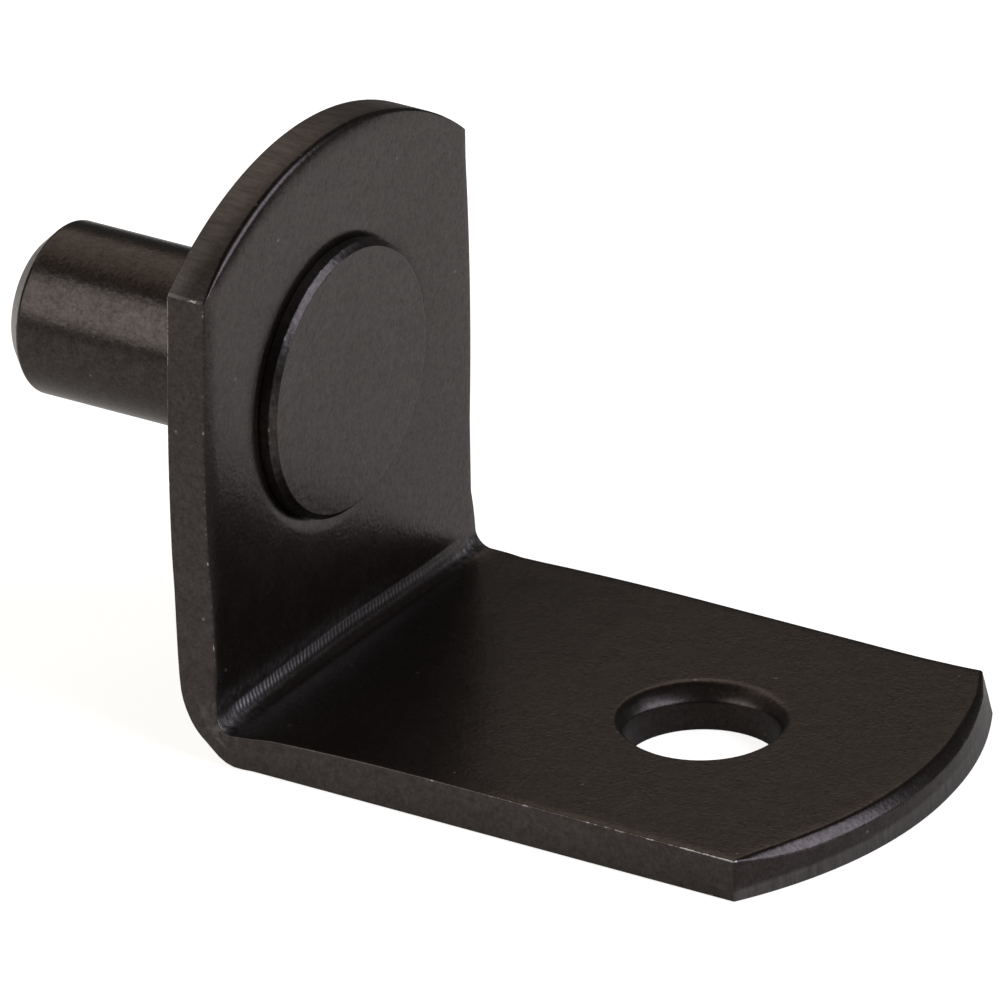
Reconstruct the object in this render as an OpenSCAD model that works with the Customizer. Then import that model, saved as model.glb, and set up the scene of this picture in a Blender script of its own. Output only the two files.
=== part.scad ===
// Angled shelf support: a bent steel bracket with a headed pin pressed through its leaf.
// X runs along the arm, away from the cabinet side. Y runs across the strip. Z is up.
// The origin is on the pin's axis, in the plane of the leaf's outer face.

/* [Strip] */
// Width of the steel strip
strip_width = 13.4; // [11:0.1:18]
// Thickness of the steel strip
plate_thickness = 1.27; // [1:0.01:2]

/* [Leaf] */
// Height of the leaf, from the arm's underside to the top of its arc
leaf_height = 16.5; // [14:0.1:26]
// Radius of the leaf's arched top
leaf_arc_radius = 10.2; // [10.2:0.1:13]
// Swell of each side edge of the leaf beside the pin, squeezed out when the pin is set
leaf_swell = 0.12; // [0.02:0.01:0.3]
// Height of the stretch of edge that swells
leaf_swell_height = 8; // [4:0.1:9]

/* [Arm] */
// Length of the arm, from the leaf's outer face to the tip of its arc
arm_length = 20; // [16:0.1:32]
// Radius of the arm's arched tip
arm_arc_radius = 13; // [10.5:0.1:20]

/* [Bend] */
// Radius of the outside of the bend where it leaves the leaf
bend_leaf_radius = 2.1; // [1:0.05:3]
// Radius of the outside of the bend where it meets the arm's underside
bend_arm_radius = 1.1; // [0.5:0.05:2]
// Angle between the leaf and the flat that the die leaves on the outside of the bend
bend_flat_angle = 50; // [35:1:55]
// Distance of that flat from the sharp corner that the two outer faces would make
bend_flat_inset = 1.05; // [0.6:0.05:1.2]
// Radius of the inside of the bend
bend_inner_radius = 0.5; // [0.2:0.05:1]
// Thinning of the arm at the foot of the bend
bend_thinning = 0.26; // [0.05:0.01:0.35]
// Length over which the arm gets back to its full thickness
bend_thinning_length = 7.5; // [4:0.1:9]
// Bulge of each side of the strip at the inside of the bend, where the steel is crushed
bend_bulge = 0.2; // [0.05:0.01:0.35]
// Reach of that bulge from the inside corner
bend_bulge_reach = 1.6; // [1:0.05:2.5]

/* [Screw hole] */
// Diameter of the screw hole
screw_hole_diameter = 4.4; // [3:0.1:6]
// Distance of the screw hole from the leaf's outer face
screw_hole_offset = 13; // [12:0.1:14]
// Radius of the rolled rim that the punch leaves on the top of the screw hole
screw_hole_roll = 0.2; // [0.05:0.01:0.4]

/* [Sheared ends] */
// Radius of the rolled edge that the shear leaves on the leaf's arched end, on its inner face
leaf_end_roll = 0.28; // [0.05:0.01:0.5]

// Radius of the rolled edge that the shear leaves on the arm's arched end, on its upper face
arm_end_roll = 0.42; // [0.05:0.01:0.6]

/* [Pin] */
// Height of the pin's axis above the arm's underside
pin_height = 9.05; // [8:0.05:12]
// Diameter of the shank that plugs into the cabinet side
pin_diameter = 5; // [4:0.05:6.5]
// Length of the shank outside the leaf
pin_length = 8.4; // [5:0.1:12]
// Width of the 45 degree chamfer on the shank's free end
pin_chamfer = 0.55; // [0.1:0.05:1]
// Step from the shank to the thicker neck that is pressed into the leaf
neck_step = 0.25; // [0.2:0.01:0.4]

/* [Pin head] */
// Diameter of the head
head_diameter = 8; // [7.5:0.1:10]
// Height of the head above the leaf's inner face
head_height = 0.38; // [0.2:0.01:1]
// Width of the 45 degree bevel round the head's face
head_bevel = 0.16; // [0.05:0.01:0.2]
// Depth of the seat that the head is pressed into
seat_depth = 0.11; // [0.03:0.01:0.3]
// Radius of the seat's rim, where the plate rolls down to its floor
seat_roll_radius = 1.4; // [0.4:0.1:3]

/* [Hidden] */
$fn = 96;
// The wide, shallow arcs need finer steps to follow their true curve.
shallow_arc_fn = 720;
// Cutting shapes reach this far past the faces they cut.
past = 1;
coating = "#3a3634";

underside_z = -pin_height;
neck_radius = pin_diameter / 2 + neck_step;
head_radius = head_diameter / 2;
seat_floor_x = plate_thickness - seat_depth;
seat_rim_radius = head_radius + sqrt(seat_roll_radius ^ 2 - (seat_roll_radius - seat_depth) ^ 2);

// Radius of the arc that rises by its sagitta over half its chord
function arc_radius(half_chord, sagitta) = (half_chord ^ 2 + sagitta ^ 2) / (2 * sagitta);

// ---- Section of the bent strip: X to the right, height above the arm's underside upwards ----

// Unit vector that points out of the flat on the outside of the bend
flat_out = -[cos(bend_flat_angle), sin(bend_flat_angle)];
// Centres of the two outside arcs, each tangent to that flat and to one outer face
leaf_side_centre = [
    bend_leaf_radius,
    (bend_flat_inset + bend_leaf_radius * (1 - cos(bend_flat_angle))) / sin(bend_flat_angle)
];
arm_side_centre = [
    (bend_flat_inset + bend_arm_radius * (1 - sin(bend_flat_angle))) / cos(bend_flat_angle),
    bend_arm_radius
];
// The arm's upper face falls towards the bend along one large circle.
thinning_radius = arc_radius(bend_thinning_length, bend_thinning);
thinning_centre = [plate_thickness + bend_thinning_length, plate_thickness - thinning_radius];
// The inside fillet is tangent to the leaf's inner face and to that circle.
fillet_x = plate_thickness + bend_inner_radius;
fillet_reach = thinning_radius + bend_inner_radius;
fillet_centre = [fillet_x, thinning_centre.y + sqrt(fillet_reach ^ 2 - (thinning_centre.x - fillet_x) ^ 2)];
fillet_end = fillet_centre + (thinning_centre - fillet_centre) * bend_inner_radius / fillet_reach;
fillet_middle = fillet_centre - bend_inner_radius * [cos(45), sin(45)];

// All that lies inside the strip's two outer faces
module inside_outer_faces() {
    polygon([
        [0, leaf_height],
        [0, leaf_side_centre.y],
        leaf_side_centre + bend_leaf_radius * flat_out,
        arm_side_centre + bend_arm_radius * flat_out,
        [arm_side_centre.x, 0],
        [arm_length, 0],
        [arm_length, leaf_height]
    ]);
    translate(leaf_side_centre) circle(bend_leaf_radius);
    translate(arm_side_centre) circle(bend_arm_radius);
}

// The space between the strip's two inner faces, where the shelf lies
module shelf_space() {
    difference() {
        translate([plate_thickness, 0]) square([arm_length, leaf_height + past]);
        translate([thinning_centre.x, 0]) square([arm_length, plate_thickness]);
        intersection() {
            translate([plate_thickness, 0]) square([bend_thinning_length, plate_thickness]);
            translate(thinning_centre) circle(thinning_radius, $fn = shallow_arc_fn);
        }
        polygon([
            [plate_thickness, 0],
            [plate_thickness, fillet_centre.y],
            fillet_centre,
            fillet_end,
            [fillet_end.x, 0]
        ]);
    }
    translate(fillet_centre) circle(bend_inner_radius);
}

module bent_strip(width) {
    translate([0, 0, underside_z]) rotate([90, 0, 0]) linear_extrude(width, center = true) difference() {
        inside_outer_faces();
        shelf_space();
    }
}

// ---- Sides of the strip ----

module both_sides() {
    children();
    mirror([0, 1, 0]) children();
}

// Steel crushed out sideways at the inside of the bend: a shallow dome on each side of the strip
module corner_bulges() {
    radius = arc_radius(bend_bulge_reach, bend_bulge);
    both_sides() intersection() {
        translate([fillet_middle.x, strip_width / 2, underside_z + fillet_middle.y]) rotate([-90, -45, 0])
            rotate_extrude($fn = 2 * $fn) intersection() {
                translate([0, bend_bulge - radius]) circle(radius);
                square(bend_bulge_reach);
            }
        bent_strip(strip_width + 2 * past);
    }
}

// Steel squeezed out sideways beside the pin
module swells_beside_pin() {
    radius = arc_radius(leaf_swell_height / 2, leaf_swell);
    both_sides() intersection() {
        translate([0, strip_width / 2, -leaf_swell_height / 2])
            cube([plate_thickness, past, leaf_swell_height]);
        translate([-past, strip_width / 2 + leaf_swell - radius, 0]) rotate([0, 90, 0])
            cylinder(h = plate_thickness + 2 * past, r = radius, $fn = shallow_arc_fn);
    }
}

// ---- Ends of the strip: each is drawn with its inner face on the plane z = 0 and its length along x ----

module on_leaf() {
    translate([plate_thickness, 0, underside_z]) rotate([0, -90, 180]) children();
}

module on_arm() {
    translate([0, 0, underside_z + plate_thickness]) children();
}

// The space under an arched end that is cut to its length, as deep as the part
module arched_end(length, radius) {
    depth = 2 * (arm_length + leaf_height);
    width = strip_width + 2 * past;
    centre_x = length - radius;
    linear_extrude(depth, center = true) {
        translate([centre_x, 0]) circle(radius, $fn = 2 * $fn);
        translate([-past, -width / 2]) square([centre_x + past, width]);
    }
}

// The sharp edge that the shear rolls down along an arched end's inner face
module end_roll_cut(length, radius, roll) {
    translate([length - radius, 0, 0]) rotate(-90) rotate_extrude(angle = 180, $fn = 2 * $fn)
        rolled_corner(radius, 1, roll);
}

// Outline, in radius and height, of what a rolled edge of the face z = 0 loses. The wall that the
// face meets has the given radius, and the metal lies inside it (side 1) or outside it (side -1).
module rolled_corner(radius, side, roll) {
    centre = [radius - side * roll, -roll];
    difference() {
        translate([min(centre.x, radius + side * past), centre.y]) square([roll + past, roll + past]);
        translate(centre) circle(roll);
    }
}

// ---- Holes in the strip ----

module pin_hole_cut() {
    rotate([0, 90, 0]) translate([0, 0, -past]) cylinder(h = plate_thickness + 2 * past, r = neck_radius);
}

// Seat pressed by the head, with a rim that rolls down to its floor
module head_seat_cut() {
    rotate([0, 90, 0]) rotate_extrude($fn = 2 * $fn) difference() {
        translate([0, seat_floor_x]) square([seat_rim_radius, seat_depth + past]);
        translate([seat_rim_radius, plate_thickness - seat_roll_radius]) circle(seat_roll_radius);
    }
}

module screw_hole_cut() {
    radius = screw_hole_diameter / 2;
    on_arm() translate([screw_hole_offset, 0, 0]) {
        translate([0, 0, -plate_thickness - past]) cylinder(h = plate_thickness + 2 * past, r = radius);
        rotate_extrude() rolled_corner(radius, -1, screw_hole_roll);
    }
}

// ---- The two pieces ----

module bracket() {
    color(coating) difference() {
        union() {
            intersection() {
                bent_strip(strip_width);
                on_leaf() arched_end(leaf_height, leaf_arc_radius);
                on_arm() arched_end(arm_length, arm_arc_radius);
            }
            corner_bulges();
            swells_beside_pin();
        }
        on_leaf() end_roll_cut(leaf_height, leaf_arc_radius, leaf_end_roll);
        on_arm() end_roll_cut(arm_length, arm_arc_radius, arm_end_roll);
        pin_hole_cut();
        head_seat_cut();
        screw_hole_cut();
    }
}

module headed_pin() {
    shank_radius = pin_diameter / 2;
    head_face_x = plate_thickness + head_height;
    color(coating) rotate([0, 90, 0]) rotate_extrude() polygon([
        [0, -pin_length],
        [shank_radius - pin_chamfer, -pin_length],
        [shank_radius, pin_chamfer - pin_length],
        [shank_radius, 0],
        [neck_radius, 0],
        [neck_radius, seat_floor_x],
        [head_radius, seat_floor_x],
        [head_radius, head_face_x - head_bevel],
        [head_radius - head_bevel, head_face_x],
        [0, head_face_x]
    ]);
}

bracket();
headed_pin();
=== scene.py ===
"""A bent steel shelf support with a headed pin, on a pale table in soft light.

The frame's origin is on the pin's axis, in the plane of the leaf's outer face. X runs along the arm,
Y across the strip and Z up. Sizes are in millimetres until a piece is finished.
"""

import math
from types import SimpleNamespace

import bmesh
import bpy
import numpy as np
from mathutils import Matrix, Vector


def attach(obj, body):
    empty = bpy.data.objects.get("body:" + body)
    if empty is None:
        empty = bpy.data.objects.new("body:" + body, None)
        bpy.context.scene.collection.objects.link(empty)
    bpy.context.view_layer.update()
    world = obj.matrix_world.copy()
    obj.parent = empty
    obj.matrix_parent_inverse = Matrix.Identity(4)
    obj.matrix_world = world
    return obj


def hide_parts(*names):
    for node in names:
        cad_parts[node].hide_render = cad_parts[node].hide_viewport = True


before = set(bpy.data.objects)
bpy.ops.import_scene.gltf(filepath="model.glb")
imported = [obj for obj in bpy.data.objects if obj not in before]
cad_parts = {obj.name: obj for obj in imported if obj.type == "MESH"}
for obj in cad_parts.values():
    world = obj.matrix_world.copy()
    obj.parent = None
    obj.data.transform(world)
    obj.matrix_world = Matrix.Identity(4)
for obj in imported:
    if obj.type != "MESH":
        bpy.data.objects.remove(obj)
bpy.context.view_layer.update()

MM = 0.001

# FAR is farther than any place on the part is from an edge. A point nearer to an edge than ON_WALL is on its wall.
FAR, ON_WALL = 99.0, 0.003

# ---- The strip ----
WIDTH = 13.4
HALF = WIDTH / 2
PLATE = 1.27
LEAF_HEIGHT, LEAF_ARC = 16.5, 10.2
ARM_LENGTH, ARM_ARC = 20.0, 13.0
UNDERSIDE_Z = -9.05
PIN_HEIGHT = 9.05

# ---- The bend: two outside radii with a flat between them, one inside radius, and the thinned arm ----
LEAF_RADIUS, ARM_RADIUS = 2.1, 1.1
FLAT_ANGLE, FLAT_INSET = math.radians(50), 1.05
INNER_RADIUS = 0.5
THINNING, THINNING_LENGTH = 0.26, 7.5

# ---- Edges that the bend makes bulge and that the pin makes swell, and how closely that keeps to the edge ----
BULGE, BULGE_REACH = 0.2, 1.6
SWELL, SWELL_HEIGHT = 0.12, 8.0
BULGE_POWER = 6

# ---- The holes and the head's seat ----
SCREW_X, SCREW_RADIUS = 13.0, 2.2
NECK_RADIUS, HEAD_RADIUS, SEAT_DEPTH, SEAT_ROLL = 2.75, 4.0, 0.11, 1.4
SEAT_DISH, SEAT_DISH_REACH = 0.02, 1.2
SEAT_RIM = HEAD_RADIUS + math.sqrt(SEAT_ROLL**2 - (SEAT_ROLL - SEAT_DEPTH) ** 2)

# ---- The pin ----
PIN_RADIUS, PIN_LENGTH, PIN_CHAMFER = 2.5, 8.4, 0.55
HEAD_HEIGHT, HEAD_BEVEL = 0.38, 0.16
PIN_SIDES = 144

# ---- Faces that the shear drew down at their edges: how deep, over what width and how steeply ----
TIP_DROOP, TIP_SAG = (0.3, 0.31, 1.4), (0.02, 0.7, 2)
CROWN_DROOP, CROWN_SAG = (0.08, 0.1, 1.5), (0.13, 0.6, 2)
LEAF_SIDE_SAG, OTHER_SIDE_SAG = (0.07, 0.55, 2), (0.015, 0.3, 2)
# The share of its droop that each end has at places across the strip
TIP_DROOP_SHARES = ([-6.7, -6.3, -5.6, -4.5, 3.5, 5.6, 6.7], [0.03, 0.25, 0.65, 1, 1, 0.5, 0.1])
CROWN_DROOP_SHARES = ([-6.7, -6.2, -5.4, -3, -1, 1.5, 4.4, 6.7], [0.1, 0.6, 1, 1, 1, 0.9, 0.3, 0.03])
LEAST_DROOP_WIDTH = 0.4
CORNER_DROOP_SHARE = 0.2
# The leaf's near side starts to sag at this height, and sags fully from this much above it.
LEAF_SAG_START, LEAF_SAG_RISE = 3.5, 4

# ---- The screw hole's rim, drawn down most on the side that the punch met last ----
# Its mean, what that side has more, and the least it has
SCREW_DROOP_DEPTH, SCREW_DROOP_WIDTH = (0.2, 0.24, 0.03), (0.17, 0.36, 0.05)
SCREW_DROOP_SIDE = (-0.538, 0.843)
# The drop is partly a bevel and partly a roll.
SCREW_BEVEL_SHARE, SCREW_ROLL_SHARE = 0.6, 0.4

# ---- Rounding of the edges on the inner face and on the outer one, and of the corners seen from above ----
EDGE_RADIUS, BURR_RADIUS, CORNER_RADIUS = 0.04, 0.03, 0.05

# ---- How far the near side of the leaf's foot leans in at heights above the underside ----
FOOT_LEAN = ([0, 0.6, 1.35, 2.2, 3, 4, 5, 6], [0.1, 0.2, 0.21, 0.13, 0.085, 0.05, 0.02, 0])
FOOT_END, FOOT_FADE = 4.4, 1.5

# ---- How far the shear spread the arm's far corner, and its tip at places across the strip ----
CORNER_SPREAD, CORNER_SPREAD_START, CORNER_SPREAD_RISE = 0.16, 15.3, 2.8
TIP_UNDER_SPREAD = ([-4, 2, 5, 6.7], [0, 0.03, 0.1, 0.12])
TIP_UPPER_SPREAD = ([2, 5.6, 6.7], [0, -0.03, -0.2])
TIP_SPREAD_REACH = 1.5

# ---- The line that the bending punch leaves inside the bend: how far round the fillet, reach and height ----
PUNCH_RIDGE = 0.03, 0.15, 0.035
PUNCH_GROOVE = 0.29, 0.13, 0.035
LOWER_RIDGE = 0.46, 0.06, 0.008
LINE_SLANT = ([-6, -3, 0, 4], [0.13, 0.05, 0, 0.11])
LINE_HALF_LENGTH, LINE_FADE = 6.05, 0.25
PRESSED_POWER = 6
RIB_SPACING, RIB_WANDER = 0.18, 9.0
RIB_STRENGTH = ([-5, 0, 5], [1.6, 1, 0.35])

# ---- Wrinkled steel at the line's ends and above it: where, over what reach, and how strong ----
LINE_CORNER, LINE_CORNER_REACH = (6.3, 0.45), (1.2, 0.4)
ABOVE_LINE, ABOVE_LINE_REACH = -0.25, 0.22
ABOVE_LINE_STRENGTH = ([-6, 0, 3], [0.6, 0.4, 0])

# ---- Wear: how much of the coat each edge has lost, from none at 0 to nearly all at 1 ----
WEAR_REACH, CORNER_WEAR_REACH, SIDE_STRIP = 0.025, 0.08, 0.1
INNER_LEAF_SIDE_WEAR = 0.8
INNER_ARM_SIDE_WEAR = ([4, 9, 14, 18.2], [0.5, 0.8, 0.92, 1.15])
CROWN_WEAR, TIP_WEAR = 0.7, 0.6
SCREW_WEAR, SCREW_WEAR_MORE, SCREW_WEAR_REACH = 0.35, 0.3, 0.5
OUTER_LEAF_SIDE_WEAR = ([4, 8, 14], [0.5, 0.95, 1.05])
OUTER_WEAR = 0.6
LEAF_CORNER_WEAR, ARM_CORNER_WEAR = 0.92, 0.6
CHAMFER_WEAR, CHAMFER_WEAR_FADE = 1.6, 0.15
HEAD_RIM_WEAR, HEAD_RIM_REACH = 0.8, 0.05
HEAD_RIM_WRINKLES, HEAD_RIM_WRINKLES_REACH = 0.35, 0.25

# ---- Sheared ends: up to which share of the thickness the steel broke, at places across the strip ----
TIP_BRINK = ([-6.7, -5, -2, 2], [0.22, 0.4, 0.47, 0.6])
TIP_BRINK_EDGE, TIP_LIP, TIP_LIP_REACH = 0.06, 0.75, 0.05
CROWN_BRINK = ([-6.7, -5, 0], [0.5, 1, 1.2])
CROWN_BRINK_EDGE, CROWN_BROKEN = 0.5, 1.15
SIDE_BROKEN, CHAMFER_BROKEN = 0.1, 1.5
SCREW_HOLE_CUT, SCREW_HOLE_CUT_REACH = 0.5, 0.6

# The flat blank: the arm lies from BEND_START outwards, the bend takes up BEND_BLANK of it, and the leaf follows.
BEND_START, LEAF_START, BEND_BLANK = 2.9, 2.9, 3.3
LEAF_BLANK = BEND_START - BEND_BLANK
ARM_SPAN, LEAF_SPAN = ARM_LENGTH - BEND_START, LEAF_HEIGHT - LEAF_START

# Windows in the blank that rings round a hole fill: from and to as shares of the zone's length, and half width
SEAT_WINDOW = (0.06, 0.895, 5.3)
SCREW_WINDOW = (0.4, 0.78, 3.15)

# Lines across the strip crowd towards the edges, which are rolled over, and so do the rings round the screw hole.
EDGE_STEPS = [0, 0.006, 0.016, 0.03, 0.05, 0.08, 0.12, 0.17, 0.23, 0.3, 0.38, 0.47, 0.58, 0.75, 1.1]
SCREW_STEPS = [0.85, 0.7, 0.58, 0.48, 0.39, 0.31, 0.24, 0.18, 0.13, 0.09, 0.06, 0.04, 0.02, 0.008, 0]

# Places of the lines round the walls, as shares of the plate's thickness
WALL_LINES = [0, 0.03, 0.1, 0.16, 0.22, 0.28, 0.34, 0.4, 0.46, 0.52, 0.6, 0.7, 0.8, 0.9, 0.97, 1]

# The bend's lines crowd in its fillet, between these shares of the bend.
FILLET_FROM, FILLET_TO = 0.3, 0.66

# How many points draw each curve of the bend's outlines, and its fillet
CURVE_POINTS, FILLET_POINTS = 60, 80


# ---- Modelling helpers ----


def edit(piece):
    """Puts a piece alone in edit mode with nothing selected, and gives its mesh."""
    bpy.ops.object.select_all(action="DESELECT")
    bpy.context.view_layer.objects.active = piece
    piece.select_set(True)
    bpy.ops.object.mode_set(mode="EDIT")
    bpy.ops.mesh.select_all(action="DESELECT")
    return bmesh.from_edit_mesh(piece.data)


def choose(mesh, kind, wanted):
    """Selects the edges or faces that the test wants."""
    bpy.ops.mesh.select_all(action="DESELECT")
    bpy.ops.mesh.select_mode(type={"edges": "EDGE", "faces": "FACE"}[kind])
    for part in getattr(mesh, kind):
        if wanted(part):
            part.select_set(True)
    mesh.select_flush_mode()
    bmesh.update_edit_mesh(bpy.context.active_object.data)


def face_outwards(piece):
    """Turns every face of a closed piece outwards, and leaves edit mode."""
    choose(bmesh.from_edit_mesh(piece.data), "faces", lambda f: True)
    bpy.ops.mesh.normals_make_consistent(inside=False)
    bpy.ops.object.mode_set(mode="OBJECT")


def middle(part):
    """The middle of an edge or a face."""
    return sum((v.co for v in part.verts), Vector()) / len(part.verts)


def points(piece):
    """Every point of a piece, as rows of X, Y and Z."""
    found = np.empty(len(piece.data.vertices) * 3)
    piece.data.vertices.foreach_get("co", found)
    return found.reshape(-1, 3)


def set_points(piece, placed):
    """Moves every point of a piece to its row of X, Y and Z."""
    piece.data.vertices.foreach_set("co", np.asarray(placed, float).ravel())
    piece.data.update()


def mark(piece, name, values):
    """Gives each point of a piece a number that its material can read."""
    piece.data.attributes.new(name, "FLOAT", "POINT").data.foreach_set("value", np.asarray(values, float))


def smooth(piece):
    """Shades a piece smoothly, as its edges have real roundings."""
    bpy.ops.object.select_all(action="DESELECT")
    bpy.context.view_layer.objects.active = piece
    piece.select_set(True)
    bpy.ops.object.shade_smooth()


def steps(start, end, count):
    """Even steps from a start up to an end, without the end."""
    return [start + (end - start) * k / count for k in range(count)]


# ---- The strip's blank: cut, punched and given its thickness ----


def arc_line(across, length, radius):
    """How far an arched end reaches at each place across the strip."""
    return length - radius + np.sqrt(radius**2 - across**2)


def lines_across():
    """Places across the strip of the lines that run along it."""
    half = [HALF - step for step in EDGE_STEPS]
    half += steps(SEAT_WINDOW[2], SCREW_WINDOW[2], 5) + steps(SCREW_WINDOW[2], 0, 8)
    return [-x for x in half] + [0] + half[::-1]


def lines_along():
    """Each line across the strip: its zone, and its share of the zone's length."""
    leaf = [(LEAF_SPAN - step) / LEAF_SPAN for step in EDGE_STEPS]
    leaf += steps(SEAT_WINDOW[1], SEAT_WINDOW[0], 26) + [SEAT_WINDOW[0], 0.03]
    bend = steps(0, FILLET_FROM, 6) + steps(FILLET_FROM, FILLET_TO, 36) + steps(FILLET_TO, 1.0001, 6)
    arm = steps(0, SCREW_WINDOW[0], 8) + steps(SCREW_WINDOW[0], SCREW_WINDOW[1], 16)
    arm += [SCREW_WINDOW[1], 0.82, 0.86]
    arm += [(ARM_SPAN - step) / ARM_SPAN for step in EDGE_STEPS][::-1]
    return [(zone, share) for zone, shares in (("leaf", leaf), ("bend", bend), ("arm", arm)) for share in shares]


def blank_point(zone, share, across):
    """Place of a point in the flat blank, along the strip."""
    if zone == "bend":
        return LEAF_BLANK + share * BEND_BLANK
    if zone == "leaf":
        return LEAF_BLANK - share * (arc_line(across, LEAF_HEIGHT, LEAF_ARC) - LEAF_START)
    return BEND_START + share * (arc_line(across, ARM_LENGTH, ARM_ARC) - BEND_START)


def cut_blank():
    """Cuts the flat blank with its two arched ends."""
    along, across = lines_along(), lines_across()
    bpy.ops.object.select_all(action="DESELECT")
    bpy.ops.mesh.primitive_grid_add(
        x_subdivisions=len(along) - 1, y_subdivisions=len(across) - 1, size=2, location=(0, 0, 0)
    )
    strip = bpy.context.active_object
    strip.name = strip.data.name = "bent_strip"
    placed = points(strip)
    for p in placed:
        i = round((p[0] + 1) / 2 * (len(along) - 1))
        j = round((p[1] + 1) / 2 * (len(across) - 1))
        p[0] = blank_point(*along[i], across[j])
        p[1] = across[j]
    set_points(strip, placed)
    return strip


def punch(strip, zone, window, centre, ring_radii):
    """Opens a window in the blank's lines and closes it with rings round a hole."""
    low, high, half_width = window

    def in_window(part, margin=0.0):
        at = middle(part)
        if abs(at.y) > half_width + margin:
            return False
        if zone == "leaf":
            share = (LEAF_BLANK - at.x) / (arc_line(at.y, LEAF_HEIGHT, LEAF_ARC) - LEAF_START)
        else:
            share = (at.x - BEND_START) / (arc_line(at.y, ARM_LENGTH, ARM_ARC) - BEND_START)
        # Both zones are over 10 mm long, so a tenth of the margin is enough as a share.
        return low - margin * 0.1 < share < high + margin * 0.1

    choose(edit(strip), "faces", in_window)
    bpy.ops.mesh.delete(type="FACE")
    choose(bmesh.from_edit_mesh(strip.data), "edges", lambda e: e.is_boundary and in_window(e, 0.02))
    for radius in ring_radii:
        bpy.ops.mesh.extrude_edges_move()
        mesh = bmesh.from_edit_mesh(strip.data)
        for v in mesh.verts:
            if v.select:
                away = Vector((v.co.x - centre, v.co.y)).normalized() * radius
                v.co.x, v.co.y = centre + away.x, away.y
        bmesh.update_edit_mesh(strip.data)
    bpy.ops.object.mode_set(mode="OBJECT")


def thicken(strip):
    """Gives the blank the plate's thickness, with lines round its walls."""
    choose(edit(strip), "faces", lambda f: True)
    bpy.ops.mesh.extrude_region_move(TRANSFORM_OT_translate={"value": (0, 0, PLATE)})
    mesh = bmesh.from_edit_mesh(strip.data)
    choose(mesh, "edges", lambda e: abs(e.verts[0].co.z - e.verts[1].co.z) > PLATE / 2)
    bpy.ops.mesh.subdivide(number_cuts=len(WALL_LINES) - 2)
    face_outwards(strip)


# ---- The strip in the press: its points are moved to where the tools leave the steel ----


def rounded(distance, radius):
    """How far a face drops at a distance from an edge that is rounded to a radius."""
    share = np.clip(1 - distance / radius, 0, 1)
    return radius * (1 - np.sqrt(1 - share**2))


def drooped(distance, depth, width, power):
    """How far a face drops at a distance from an edge that the shear drew down."""
    return depth * np.clip(1 - distance / width, 0, 1) ** power


def hump(distance, width, power=2):
    """A smooth hill, 1 at its top."""
    return np.exp(-(np.abs(distance / width) ** power))


def rise(value, start, length):
    """0 up to a start, 1 from a length past it, and straight between."""
    return np.clip((value - start) / length, 0, 1)


def measure(strip):
    """Each point's place in the blank, its share of the thickness, and how far it is from each edge."""
    along, across, height = points(strip).T
    share = np.interp(height / PLATE, np.linspace(0, 1, len(WALL_LINES)), WALL_LINES)
    arm, leaf = along > BEND_START, along < LEAF_BLANK
    up_leaf = LEAF_START + LEAF_BLANK - along

    to_side = HALF - np.abs(across)
    to_tip = arc_line(across, ARM_LENGTH, ARM_ARC) - along
    to_crown = arc_line(across, LEAF_HEIGHT, LEAF_ARC) - up_leaf
    to_end = np.maximum(np.where(leaf, to_crown, np.where(arm, to_tip, FAR)), 0)
    from_screw = np.where(arm, np.hypot(along - SCREW_X, across), FAR)
    from_pin = np.where(leaf, np.hypot(up_leaf - PIN_HEIGHT, across), FAR)
    nearest = np.minimum.reduce([to_end, to_side, from_screw - SCREW_RADIUS, from_pin - NECK_RADIUS])

    # The four corners are slightly rounded seen from above.
    by_side, by_end = 1 - rise(to_side, 0, CORNER_RADIUS), 1 - rise(to_end, 0, CORNER_RADIUS)
    across = across - np.sign(across) * CORNER_RADIUS * by_side * (1 - np.sqrt(1 - by_end**2 / 2))
    inset = CORNER_RADIUS * by_end * (1 - np.sqrt(1 - by_side**2 / 2))
    along = along - np.where(arm, inset, -inset)
    return SimpleNamespace(
        arm=arm,
        leaf=leaf,
        bend=~arm & ~leaf,
        along=along,
        across=across,
        up_leaf=LEAF_START + LEAF_BLANK - along,
        share=share,
        to_side=to_side,
        to_end=to_end,
        from_screw=from_screw,
        from_pin=from_pin,
        nearest=np.maximum(nearest, 0),
        on_wall=nearest < ON_WALL,
        on_inner_face=share > 0.99,
        on_outer_face=share < 0.01,
        under_head=from_pin < HEAD_RADIUS,
    )


def sheared_drop(at):
    """How far the inner faces sag and then droop to their sheared edges."""
    crown_share = np.interp(at.across, *CROWN_DROOP_SHARES)
    end_share = np.where(at.leaf, crown_share, np.interp(at.across, *TIP_DROOP_SHARES))
    depth, width, power = (np.where(at.leaf, crown, tip) for crown, tip in zip(CROWN_DROOP, TIP_DROOP))
    width = width * (LEAST_DROOP_WIDTH + (1 - LEAST_DROOP_WIDTH) * end_share)
    by_end = drooped(at.to_end, depth * end_share, width, power)
    sag = np.where(at.leaf, drooped(at.to_end, *CROWN_SAG), drooped(at.to_end, *TIP_SAG))
    by_end += sag * end_share

    near_leaf_side = rise(at.up_leaf, LEAF_SAG_START, LEAF_SAG_RISE) * at.leaf * (at.across < 0)
    by_side = drooped(at.to_side, *LEAF_SIDE_SAG) * near_leaf_side
    by_side += drooped(at.to_side, *OTHER_SIDE_SAG) * (1 - near_leaf_side)
    return np.maximum(by_end, by_side) + CORNER_DROOP_SHARE * np.minimum(by_end, by_side)


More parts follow.
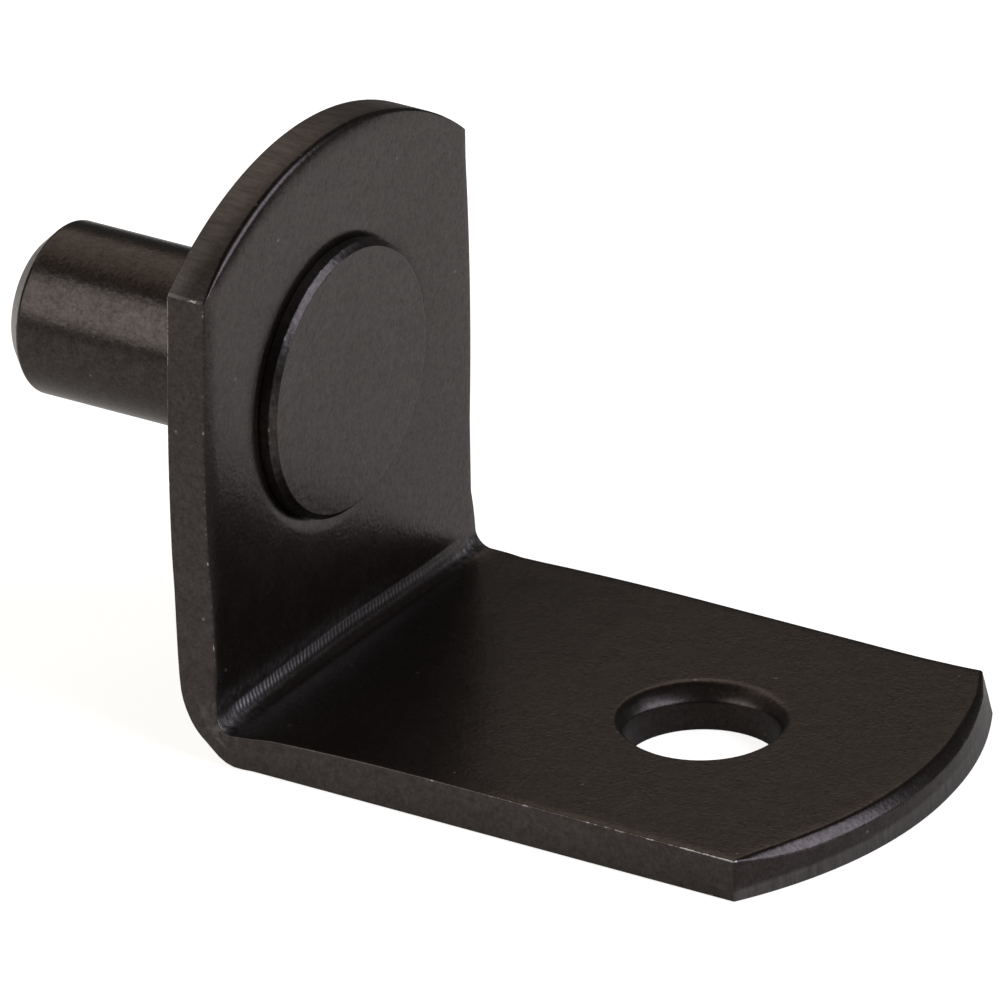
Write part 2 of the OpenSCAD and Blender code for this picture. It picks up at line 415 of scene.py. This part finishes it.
def punched_drop(at):
    """How far the arm's top is drawn down round the screw hole. Notes the side and the width for the wear."""
    side_x, side_y = SCREW_DROOP_SIDE
    at.towards = ((at.along - SCREW_X) * side_x + at.across * side_y) / at.from_screw * at.arm
    depth, at.screw_width = (
        np.maximum(mean + more * at.towards, least) for mean, more, least in (SCREW_DROOP_DEPTH, SCREW_DROOP_WIDTH)
    )
    near = np.clip(1 - (at.from_screw - SCREW_RADIUS) / at.screw_width, 0, 1)
    return depth * (SCREW_BEVEL_SHARE * near + SCREW_ROLL_SHARE * (1 - np.sqrt(1 - near**2)))


def seat_drop(at):
    """How far the leaf is pressed down under the head, to a flat seat with a rolled rim."""
    inside_rim = np.clip(SEAT_RIM - at.from_pin, 0, SEAT_RIM - HEAD_RADIUS)
    roll = (SEAT_ROLL - np.sqrt(SEAT_ROLL**2 - inside_rim**2)) * (1 - SEAT_DISH / SEAT_DEPTH)
    return roll + drooped(at.from_pin - SEAT_RIM, SEAT_DISH, SEAT_DISH_REACH, 2)


def arc(centre, radius, start, end, count):
    """Points on an arc from one angle to another."""
    turn = np.linspace(start, end, count)
    return centre + radius * np.stack([np.cos(turn), np.sin(turn)], 1)


def bend_lines():
    """The bend's inner and outer outlines from the arm to the leaf, its fillet's centre, and the arm's top."""
    # The arm's top curves down to the fillet about a centre far below.
    slope_radius = (THINNING_LENGTH**2 + THINNING**2) / (2 * THINNING)
    slope = np.array([PLATE + THINNING_LENGTH, PLATE - slope_radius])

    def arm_top(x):
        return slope[1] + np.sqrt(slope_radius**2 - (np.minimum(x, slope[0]) - slope[0]) ** 2)

    reach = slope_radius + INNER_RADIUS
    fillet_x = PLATE + INNER_RADIUS
    fillet = np.array([fillet_x, slope[1] + math.sqrt(reach**2 - (slope[0] - fillet_x) ** 2)])
    foot = fillet + (slope - fillet) * INNER_RADIUS / reach
    x = np.linspace(BEND_START, foot[0], CURVE_POINTS)
    inner = [
        np.stack([x, arm_top(x)], 1),
        arc(fillet, INNER_RADIUS, math.atan2(*(foot - fillet)[::-1]), -math.pi, FILLET_POINTS),
        np.array([[PLATE, LEAF_START]]),
    ]

    cos, sin = math.cos(FLAT_ANGLE), math.sin(FLAT_ANGLE)
    flat = math.pi + FLAT_ANGLE
    leaf_centre = np.array([LEAF_RADIUS, (FLAT_INSET + LEAF_RADIUS * (1 - cos)) / sin])
    arm_centre = np.array([(FLAT_INSET + ARM_RADIUS * (1 - sin)) / cos, ARM_RADIUS])
    outer = [
        np.array([[BEND_START, 0.0]]),
        arc(arm_centre, ARM_RADIUS, 1.5 * math.pi, flat, CURVE_POINTS),
        arc(leaf_centre, LEAF_RADIUS, flat, math.pi, CURVE_POINTS),
        np.array([[0.0, LEAF_START]]),
    ]
    return np.concatenate(inner), np.concatenate(outer), fillet, arm_top


def along_line(line, share):
    """Points at shares of a line's length."""
    lengths = np.concatenate([[0], np.cumsum(np.hypot(*np.diff(line, axis=0).T))])
    at = share * lengths[-1]
    return np.stack([np.interp(at, lengths, line[:, 0]), np.interp(at, lengths, line[:, 1])], 1)


def pressed_line(at):
    """Height of the ridges and the groove that the punch's edge leaves in the bend's fillet."""
    line_end = (1 - rise(np.abs(at.across), LINE_HALF_LENGTH - LINE_FADE, LINE_FADE)) * at.bend
    round_fillet = at.from_fillet - np.interp(at.across, *LINE_SLANT)
    (ridge_at, ridge_reach, ridge), (groove_at, groove_reach, groove) = PUNCH_RIDGE, PUNCH_GROOVE
    lower_at, lower_reach, lower = LOWER_RIDGE
    at.punch_line = hump(round_fillet - ridge_at, ridge_reach, 4) * line_end
    pressed = ridge * at.punch_line + lower * hump(round_fillet - lower_at, lower_reach) * line_end
    pressed -= groove * hump(round_fillet - groove_at, groove_reach) * line_end
    return pressed * at.share**PRESSED_POWER


def press_and_bend(strip):
    """Presses the blank's faces, bends it, and marks what the tools and the handling did to it."""
    at = measure(strip)
    drop = sheared_drop(at) + punched_drop(at) + seat_drop(at)
    drop += np.where(at.under_head | (at.from_screw < SCREW_RADIUS + 1), 0, rounded(at.nearest, EDGE_RADIUS))
    lift = rounded(at.nearest, BURR_RADIUS)
    level = lift + at.share * (PLATE - drop - lift)

    inner, outer, fillet, arm_top = bend_lines()
    turn = np.clip((BEND_START - at.along) / BEND_BLANK, 0, 1)
    inside, outside = along_line(inner, turn), along_line(outer, turn)
    length = np.hypot(*np.diff(inner, axis=0).T).sum()
    at.from_fillet = length * (1 - turn) - (LEAF_START - fillet[1])
    level += pressed_line(at)
    x, z = (outside + (inside - outside) * level[:, None] / PLATE).T
    x = np.where(at.arm, at.along, np.where(at.leaf, level, x))
    z = np.where(at.arm, level / PLATE * arm_top(at.along), np.where(at.leaf, at.up_leaf, z))

    # The leaf's foot leans in on the near side, and the shear spread the arm's tip and its far corner.
    near_side = np.clip(0.5 - at.across / WIDTH, 0, 1)
    x += np.interp(z, *FOOT_LEAN) * near_side * (1 - rise(x, FOOT_END - FOOT_FADE, FOOT_FADE))
    under, upper = (np.interp(at.across, *spread) for spread in (TIP_UNDER_SPREAD, TIP_UPPER_SPREAD))
    x += (under * (1 - at.share) + upper * at.share) * (1 - rise(at.to_end, 0, TIP_SPREAD_REACH)) * at.arm
    at_corner = rise(at.along, CORNER_SPREAD_START, CORNER_SPREAD_RISE) ** 2 * rise(at.across, 0, HALF) ** 4
    at.across = at.across + CORNER_SPREAD * at_corner

    # Steel that the bend and the pin push out sideways
    off_middle = np.minimum(np.abs(at.across) / HALF, 1)
    corner_x, corner_z = fillet - INNER_RADIUS * math.sqrt(0.5)
    off_corner = np.hypot(x - corner_x, z - corner_z)
    bulge = BULGE * np.clip(1 - (off_corner / BULGE_REACH) ** 2, 0, 1)
    bulge += SWELL * np.clip(1 - ((z - PIN_HEIGHT) / (SWELL_HEIGHT / 2)) ** 2, 0, 1) * at.leaf
    y = at.across + np.sign(at.across) * bulge * off_middle**BULGE_POWER

    set_points(strip, np.stack([x, y, z + UNDERSIDE_Z], 1) * MM)
    mark_wear(strip, at)
    mark_tooling(strip, at)
    smooth(strip)


def mark_wear(strip, at):
    """Marks how worn each edge is: on the inner face, on the outer face and at the corners."""
    to_inner = np.where(at.on_wall, (1 - at.share) * PLATE, np.where(at.on_inner_face, at.nearest, FAR))
    to_outer = np.where(at.on_wall, at.share * PLATE, np.where(at.on_outer_face, at.nearest, FAR))
    to_corner = np.where(at.on_wall, np.maximum(at.to_side, at.to_end), FAR)
    side_wear = np.where(at.leaf, INNER_LEAF_SIDE_WEAR, np.interp(at.along, *INNER_ARM_SIDE_WEAR))
    by_the_side = at.to_side < SIDE_STRIP
    inner_wear = np.where(by_the_side, side_wear, np.where(at.leaf, CROWN_WEAR, TIP_WEAR))
    by_screw = at.from_screw < SCREW_RADIUS + SCREW_WEAR_REACH
    inner_wear = np.where(by_screw, SCREW_WEAR + SCREW_WEAR_MORE * at.towards, inner_wear)
    outer_wear = np.where(by_the_side & at.leaf, np.interp(at.up_leaf, *OUTER_LEAF_SIDE_WEAR), OUTER_WEAR)
    corner_wear = np.where(at.leaf, LEAF_CORNER_WEAR, ARM_CORNER_WEAR)
    worn = np.maximum.reduce(
        [
            inner_wear * hump(to_inner, WEAR_REACH, 4),
            outer_wear * hump(to_outer, WEAR_REACH, 4),
            corner_wear * hump(to_corner, CORNER_WEAR_REACH),
        ]
    )
    mark(strip, "worn", np.where(at.bend | at.under_head, 0, worn))


def mark_tooling(strip, at):
    """Marks where the punch ribbed the steel, where the bend wrinkled it, and where a wall is cut or broken."""
    inner_side = (at.share > 0.5) * at.bend
    mark(strip, "ribbed", at.punch_line * inner_side * np.interp(at.across, *RIB_STRENGTH))

    (corner_y, corner_turn), (reach_y, reach_turn) = LINE_CORNER, LINE_CORNER_REACH
    off_corner = np.hypot((corner_y - np.abs(at.across)) / reach_y, (at.from_fillet - corner_turn) / reach_turn)
    above = hump(at.from_fillet - ABOVE_LINE, ABOVE_LINE_REACH) * np.interp(at.across, *ABOVE_LINE_STRENGTH)
    mark(strip, "wrinkled", np.maximum(hump(off_corner, 1), above) * inner_side)

    end_wall = at.on_wall & (at.to_end < 0.01)
    in_screw_hole = at.from_screw < SCREW_RADIUS + SCREW_HOLE_CUT_REACH * at.screw_width
    mark(strip, "cut", np.where(end_wall, 1, SCREW_HOLE_CUT * in_screw_hole))

    tip_brink, crown_brink = np.interp(at.across, *TIP_BRINK), np.interp(at.across, *CROWN_BRINK)
    tip = rise(tip_brink - at.share, 0, TIP_BRINK_EDGE) + TIP_LIP * hump(at.share - tip_brink, TIP_LIP_REACH)
    crown = CROWN_BROKEN * rise(crown_brink - at.share, 0, CROWN_BRINK_EDGE)
    mark(strip, "broken", np.where(end_wall, np.where(at.leaf, crown, tip), SIDE_BROKEN * at.on_wall))


def make_strip():
    """Makes the strip as its maker does: cut, punched and bent."""
    strip = cut_blank()
    seat_rings = [SEAT_RIM + 0.15, SEAT_RIM + 0.05]
    seat_rings += steps(SEAT_RIM, HEAD_RADIUS, 8) + [HEAD_RADIUS, HEAD_RADIUS - 0.03, HEAD_RADIUS - 0.3]
    seat_rings += [NECK_RADIUS + step for step in (0.1, 0.04, 0.02, 0.006, 0)]
    punch(strip, "leaf", SEAT_WINDOW, LEAF_BLANK - (PIN_HEIGHT - LEAF_START), seat_rings)
    punch(strip, "arm", SCREW_WINDOW, SCREW_X, [SCREW_RADIUS + step for step in SCREW_STEPS])
    thicken(strip)
    press_and_bend(strip)
    return strip


strip = make_strip()


# ---- The pin: turned rings, from the head's face to the free end ----


def turned(name, rings, sides):
    """Draws a solid of revolution about X from rings of (place along X, radius)."""
    bpy.ops.object.select_all(action="DESELECT")
    start_x, start_radius = rings[0]
    bpy.ops.mesh.primitive_circle_add(
        vertices=sides, radius=start_radius, fill_type="NGON", location=(start_x, 0, 0), rotation=(0, math.pi / 2, 0)
    )
    piece = bpy.context.active_object
    piece.name = piece.data.name = name
    bpy.ops.object.transform_apply(location=True, rotation=True, scale=True)
    choose(edit(piece), "faces", lambda f: True)
    for x, radius in rings[1:]:
        bpy.ops.mesh.extrude_region_move()
        mesh = bmesh.from_edit_mesh(piece.data)
        for v in mesh.verts:
            if v.select:
                away = Vector((v.co.y, v.co.z)).normalized() * radius
                v.co = (x, away.x, away.y)
        bmesh.update_edit_mesh(piece.data)
    face_outwards(piece)
    set_points(piece, points(piece) * MM)
    smooth(piece)
    return piece


def softened(corners):
    """Rounds the corners of an outline of (x, radius, rounding), with lines that hold the flats flat."""
    rings = []
    for k, (x, r, rounding) in enumerate(corners):
        here = Vector((x, r))
        if rounding == 0:
            rings.append((x, r))
            continue
        back = (Vector(corners[k - 1][:2]) - here).normalized()
        on = (Vector(corners[k + 1][:2]) - here).normalized()
        half = back.angle(on) / 2
        set_back = rounding / math.tan(half)
        centre = here + (back + on).normalized() * (rounding / math.sin(half))
        first, last = here + back * set_back, here + on * set_back
        rings.append(tuple(first + back * rounding * 0.3))
        for j in range(7):
            spoke = (first - centre).slerp(last - centre, j / 6)
            rings.append(tuple(centre + spoke.normalized() * rounding))
        rings.append(tuple(last + on * rounding * 0.3))
    return rings


def make_pin():
    """Turns the pin in one piece: head, neck and shank, with a chamfer at the free end."""
    head_face, seat_floor = PLATE + HEAD_HEIGHT, PLATE - SEAT_DEPTH
    chamfer_start, chamfer_radius = -PIN_LENGTH + PIN_CHAMFER, PIN_RADIUS - PIN_CHAMFER
    outline = [
        (head_face, 1.5, 0),
        (head_face, HEAD_RADIUS - HEAD_BEVEL, 0.05),
        (head_face - HEAD_BEVEL, HEAD_RADIUS, 0.05),
        (seat_floor, HEAD_RADIUS, 0.03),
        (seat_floor, NECK_RADIUS, 0.02),
        (0.0, NECK_RADIUS, 0.02),
        (0.0, PIN_RADIUS, 0.05),
        (chamfer_start, PIN_RADIUS, 0.15),
        (-PIN_LENGTH, chamfer_radius, 0.08),
        (-PIN_LENGTH, chamfer_radius - 0.25, 0),
        (-PIN_LENGTH, chamfer_radius - 0.6, 0),
        (-PIN_LENGTH, 0.6, 0),
    ]
    pin = turned("headed_rivet_pin", softened(outline), PIN_SIDES)

    x, y, z = points(pin).T / MM
    radius = np.hypot(y, z)
    to_head_rim = np.hypot(x - head_face + HEAD_BEVEL, radius - HEAD_RADIUS)
    # The chamfer's wear stops at its edge on the shank and just inside its edge on the flat end.
    on_chamfer = (1 - rise(x, chamfer_start - 0.1, 0.1)) * rise(radius, chamfer_radius - 0.24, CHAMFER_WEAR_FADE)
    mark(pin, "worn", np.maximum(CHAMFER_WEAR * on_chamfer, HEAD_RIM_WEAR * hump(to_head_rim, HEAD_RIM_REACH)))
    mark(pin, "broken", CHAMFER_BROKEN * on_chamfer)
    mark(pin, "cut", (radius > HEAD_RADIUS - 0.03) & (x < head_face - HEAD_BEVEL))
    mark(pin, "wrinkled", HEAD_RIM_WRINKLES * hump(to_head_rim, HEAD_RIM_WRINKLES_REACH))
    return pin


pin = make_pin()


# ---- Materials ----


def linear(hex_colour):
    """Turns an sRGB hex colour to the linear values that a shader takes."""
    channels = [int(hex_colour[k : k + 2], 16) / 255 for k in (1, 3, 5)]
    return tuple(c / 12.92 if c <= 0.04045 else ((c + 0.055) / 1.055) ** 2.4 for c in channels) + (1.0,)


def add(tree, kind, values=(), links=(), **settings):
    """Adds a node with its settings, input values and links, and gives its first output."""
    node = tree.nodes.new(kind)
    for name, value in settings.items():
        setattr(node, name, value)
    for name, value in dict(values).items():
        node.inputs[name].default_value = value
    for name, source in dict(links).items():
        tree.links.new(source, node.inputs[name])
    return next((socket for socket in node.outputs if socket.enabled), None)


def per_mm(size):
    """Scale of a pattern whose features are this many millimetres apart."""
    return 1000 / size


def empty_material(name):
    """A new material with no nodes, and its tree."""
    material = bpy.data.materials.new(name)
    material.use_nodes = True
    material.node_tree.nodes.clear()
    return material, material.node_tree


# Each pattern of the lacquer: the size of its features in millimetres, its detail and its roughness
LACQUER_PATTERNS = {
    "tone": (1.6, 4, 0.5),
    "smear": (1.1, 3, 0.5),
    "waves": (0.9, 2, 0.5),
    "wander": (0.7, 2, 0.5),
    "chips": (0.22, 3, 0.62),
    "wrinkles": (0.2, 3, 0.5),
    "grain": (0.13, 2, 0.5),
    "tears": (0.09, 2, 0.5),
}
SHEAR_SPACING, SHEAR_STRETCH = 0.12, (0.12, 1, 0.12)
SPECK_SPACING = 1.3


def stoved_lacquer_on_stamped_steel(name):
    # Thin stoved lacquer over rolled and stamped mild steel: a satin, nearly black brown with a fine grain.
    # It has chipped to bright steel in nicks along the sharpest edges, it is rubbed thin where the bending
    # punch pressed, and the cut ends are duller than the faces.
    material, tree = empty_material(name)
    place = add(tree, "ShaderNodeTexCoord").node.outputs["Object"]
    worn, ribbed, wrinkled, cut, broken = (
        add(tree, "ShaderNodeAttribute", attribute_name=mark_name).node.outputs["Fac"]
        for mark_name in ("worn", "ribbed", "wrinkled", "cut", "broken")
    )
    pattern = {}
    for key, (size, detail, roughness) in LACQUER_PATTERNS.items():
        values = {"Scale": per_mm(size), "Detail": detail, "Roughness": roughness}
        pattern[key] = add(tree, "ShaderNodeTexNoise", values, {"Vector": place})

    # Tool marks run across the punch line, and shear marks run through the cut ends.
    axes = add(tree, "ShaderNodeSeparateXYZ", links={"Vector": place}).node.outputs
    wander = add(tree, "ShaderNodeMath", {1: RIB_WANDER}, {0: pattern["wander"]}, operation="MULTIPLY")
    links = {0: axes["Y"], 2: wander}
    turns = add(tree, "ShaderNodeMath", {1: 2 * math.pi * per_mm(RIB_SPACING)}, links, operation="MULTIPLY_ADD")
    ribs = add(tree, "ShaderNodeMath", links={0: turns}, operation="SINE")
    drawn = add(tree, "ShaderNodeMapping", {"Scale": SHEAR_STRETCH}, {"Vector": place})
    shear = add(tree, "ShaderNodeTexNoise", {"Scale": per_mm(SHEAR_SPACING), "Detail": 3.0}, {"Vector": drawn})

    tones = {"A": linear("#090503"), "B": linear("#100a06")}
    base = add(tree, "ShaderNodeMix", tones, {"Factor": pattern["tone"]}, data_type="RGBA")

    roughness = add(tree, "ShaderNodeMath", {1: 0.1, 2: 0.22}, {0: pattern["smear"]}, operation="MULTIPLY_ADD")
    for source, rougher in ((cut, 0.16), (broken, 0.1), (wrinkled, 0.15), (ribbed, 0.12)):
        links = {0: source, 2: roughness}
        roughness = add(tree, "ShaderNodeMath", {1: rougher}, links, operation="MULTIPLY_ADD")

    # Heights in thousandths of a millimetre
    height = None
    for relief, place_of_it, microns in (
        (ribs, ribbed, 5.0),
        (pattern["wrinkles"], wrinkled, 30.0),
        (shear, cut, 8.0),
        (pattern["tears"], broken, 6.0),
        (pattern["grain"], None, 6.0),
        (pattern["waves"], None, 6.0),
    ):
        if place_of_it is not None:
            relief = add(tree, "ShaderNodeMath", links={0: relief, 1: place_of_it}, operation="MULTIPLY")
        links = {0: relief} if height is None else {0: relief, 2: height}
        height = add(tree, "ShaderNodeMath", {1: microns, 2: 0.0}, links, operation="MULTIPLY_ADD")
    bump = add(tree, "ShaderNodeBump", {"Strength": 1.0, "Distance": 0.001 * MM}, {"Height": height})

    # Bright steel: chips on worn edges, a few specks anywhere, patches where the bend wrinkled it, streaks
    # where it broke, and a little of it where the punch rubbed
    chipped = add(tree, "ShaderNodeMath", {1: 1.9}, {0: pattern["chips"], 2: worn}, operation="MULTIPLY_ADD")
    chips = add(tree, "ShaderNodeMapRange", {"From Min": 1.92, "From Max": 2.1, "To Max": 0.8}, {"Value": chipped})
    cells = add(tree, "ShaderNodeTexVoronoi", {"Scale": per_mm(SPECK_SPACING)}, {"Vector": place})
    specks = add(tree, "ShaderNodeMapRange", {"From Min": 0.05, "From Max": 0.02, "To Max": 0.4}, {"Value": cells})
    values = {"From Min": 0.4, "From Max": 0.62, "To Min": 0.02, "To Max": 0.2}
    patches = add(tree, "ShaderNodeMapRange", values, {"Value": pattern["wrinkles"]})
    patches = add(tree, "ShaderNodeMath", links={0: patches, 1: wrinkled}, operation="MULTIPLY")
    streaks = add(tree, "ShaderNodeMath", {1: 0.3}, {0: shear}, operation="MULTIPLY")
    streaks = add(tree, "ShaderNodeMath", links={0: streaks, 1: broken}, operation="MULTIPLY")
    rubbed = add(tree, "ShaderNodeMath", {1: 0.2}, {0: ribbed}, operation="MULTIPLY")
    bare = chips
    for more in (specks, patches, streaks, rubbed):
        bare = add(tree, "ShaderNodeMath", links={0: bare, 1: more}, operation="MAXIMUM")

    # The film is not equally dense, so its shine is mottled at the size of the grain.
    shine = add(tree, "ShaderNodeMath", {1: 0.55, 2: -0.05}, {0: pattern["chips"]}, operation="MULTIPLY_ADD")
    shine = add(tree, "ShaderNodeMath", {1: 0.55}, {0: pattern["tears"], 2: shine}, operation="MULTIPLY_ADD")
    coat = add(
        tree,
        "ShaderNodeBsdfPrincipled",
        {"IOR": 1.57, "Specular Tint": linear("#ffede5")},
        {"Base Color": base, "Roughness": roughness, "Specular IOR Level": shine, "Normal": bump},
    )
    steel = add(
        tree,
        "ShaderNodeBsdfPrincipled",
        {"Base Color": linear("#b5b0ac"), "Metallic": 1.0, "Roughness": 0.45},
        {"Normal": bump},
    )
    both = add(tree, "ShaderNodeMixShader", links={0: bare, 1: coat, 2: steel})
    add(tree, "ShaderNodeOutputMaterial", links={"Surface": both})
    return material


lacquer = stoved_lacquer_on_stamped_steel("stoved_lacquer_on_stamped_steel")
for piece, node, slot in ((strip, "bracket", "coated_strip"), (pin, "headed_pin", "coated_pin")):
    piece.data.materials.append(lacquer)
    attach(piece, "root")
    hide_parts(node)


# ---- Table, light and camera ----
TABLE_SIZE, TABLE_GAP = 0.17, 0.00002

# Painted shade on the table's reflection, inside the screw hole and in front of the arm's tip: the spot, the
# radii that the painted shade grows fainter between, and what is left of the reflection at the spot
TABLE_PAINTED_SHADES = (((13, 0), 2.2, 3.0, 0.45), ((26, -2), 7, 17, 0.7))


def matt_opal_plastic_with_painted_shade(name):
    # Matt opal plastic: it glows a little to the camera and in reflections, which keeps the background white.
    material, tree = empty_material(name)
    place = add(tree, "ShaderNodeNewGeometry").node.outputs["Position"]
    rays = add(tree, "ShaderNodeLightPath").node.outputs
    reflection_under_painted_shade = rays["Is Glossy Ray"]
    # Painted shade: near each spot the table's colour and glow are painted darker in reflections.
    for (x, y), near, far, left in TABLE_PAINTED_SHADES:
        spot = (x * MM, y * MM, UNDERSIDE_Z * MM)
        away = add(tree, "ShaderNodeVectorMath", {1: spot}, {0: place}, operation="DISTANCE").node.outputs["Value"]
        values = {"From Min": near * MM, "From Max": far * MM, "To Min": left}
        share_outside_painted_shade = add(tree, "ShaderNodeMapRange", values, {"Value": away})
        reflection_under_painted_shade = add(tree, "ShaderNodeMath", links={0: reflection_under_painted_shade, 1: share_outside_painted_shade}, operation="MULTIPLY")
    # Where the painted shade falls, the table's colour in reflections is mixed towards black and its glow is
    # weakened.
    painted_shade = add(tree, "ShaderNodeMath", links={0: rays["Is Glossy Ray"], 1: reflection_under_painted_shade}, operation="SUBTRACT")
    tones = {"A": linear("#e7e3da"), "B": linear("#000000")}
    tone = add(tree, "ShaderNodeMix", tones, {"Factor": painted_shade}, data_type="RGBA")
    matt = add(tree, "ShaderNodeBsdfDiffuse", links={"Color": tone})
    seen = add(tree, "ShaderNodeMath", {1: 0.78}, {0: rays["Is Camera Ray"]}, operation="MULTIPLY")
    strength = add(tree, "ShaderNodeMath", {1: 0.24}, {0: reflection_under_painted_shade, 2: seen}, operation="MULTIPLY_ADD")
    glow = add(tree, "ShaderNodeEmission", {"Color": linear("#ffffff")}, {"Strength": strength})
    both = add(tree, "ShaderNodeAddShader", links={0: matt, 1: glow})
    add(tree, "ShaderNodeOutputMaterial", links={"Surface": both})
    return material


def lay_table():
    """Lays the table just under the part."""
    bpy.ops.object.select_all(action="DESELECT")
    bpy.ops.mesh.primitive_plane_add(size=TABLE_SIZE, location=(0, 0, UNDERSIDE_Z * MM - TABLE_GAP))
    table = bpy.context.active_object
    table.name = "opal_table"
    table.data.materials.append(matt_opal_plastic_with_painted_shade("matt_opal_plastic_with_painted_shade"))


def soft_box(name, place, size, power, colour="#ffffff"):
    """Hangs a rectangular lamp that faces the object."""
    lamp = bpy.data.lights.new(name, "AREA")
    lamp.shape = "RECTANGLE"
    lamp.size, lamp.size_y = size
    lamp.energy = power
    lamp.color = linear(colour)[:3]
    holder = bpy.data.objects.new(name, lamp)
    bpy.context.scene.collection.objects.link(holder)
    holder.location = place
    holder.rotation_euler = (-Vector(place)).to_track_quat("-Z", "Y").to_euler()


def room_light():
    """A dim room that is white to the camera."""
    world = bpy.data.worlds.new("dim_studio")
    bpy.context.scene.world = world
    world.use_nodes = True
    tree = world.node_tree
    tree.nodes.clear()
    seen = add(tree, "ShaderNodeLightPath").node.outputs["Is Camera Ray"]
    strength = add(tree, "ShaderNodeMapRange", {"To Min": 0.06, "To Max": 1.0}, {"Value": seen})
    glow = add(tree, "ShaderNodeBackground", {"Color": linear("#ffffff")}, {"Strength": strength})
    add(tree, "ShaderNodeOutputWorld", links={"Surface": glow})


def aim_camera():
    """Looks down at the arm's near corner through a long lens that is turned a little."""
    azimuth, elevation, roll = math.radians(32.57), math.radians(25.76), math.radians(-0.885)
    distance, lens = 0.552, 718.9
    ahead = Vector(
        (-math.sin(azimuth) * math.cos(elevation), math.cos(azimuth) * math.cos(elevation), -math.sin(elevation))
    )
    right = Vector((math.cos(azimuth), math.sin(azimuth), 0))
    up = right.cross(ahead)
    middle_of_view = (Vector((7, 0, 0)) - 0.438 * right - 2.127 * up) * MM
    camera = bpy.data.objects.new("camera", bpy.data.cameras.new("camera"))
    camera.data.lens = lens
    camera.data.sensor_width = 36
    camera.data.clip_start, camera.data.clip_end = 0.01, 10
    turned_right = right * math.cos(roll) + up * math.sin(roll)
    turned_up = up * math.cos(roll) - right * math.sin(roll)
    axes = Matrix((turned_right, turned_up, -ahead)).transposed().to_4x4()
    camera.matrix_world = Matrix.Translation(middle_of_view - ahead * distance) @ axes
    bpy.context.scene.collection.objects.link(camera)
    bpy.context.scene.camera = camera


lay_table()
soft_box("right_box", (0.485, 0.108, 0.299), (0.56, 0.45), 2.9, "#e6ebff")
soft_box("front_left_box", (-0.267, -0.42, 0.27), (0.36, 0.5), 1.2)
soft_box("back_left_box", (-0.392, 0.245, 0.525), (0.8, 0.4), 0.74, "#ffeedd")
room_light()
aim_camera()
bpy.context.scene.view_settings.view_transform = "Standard"
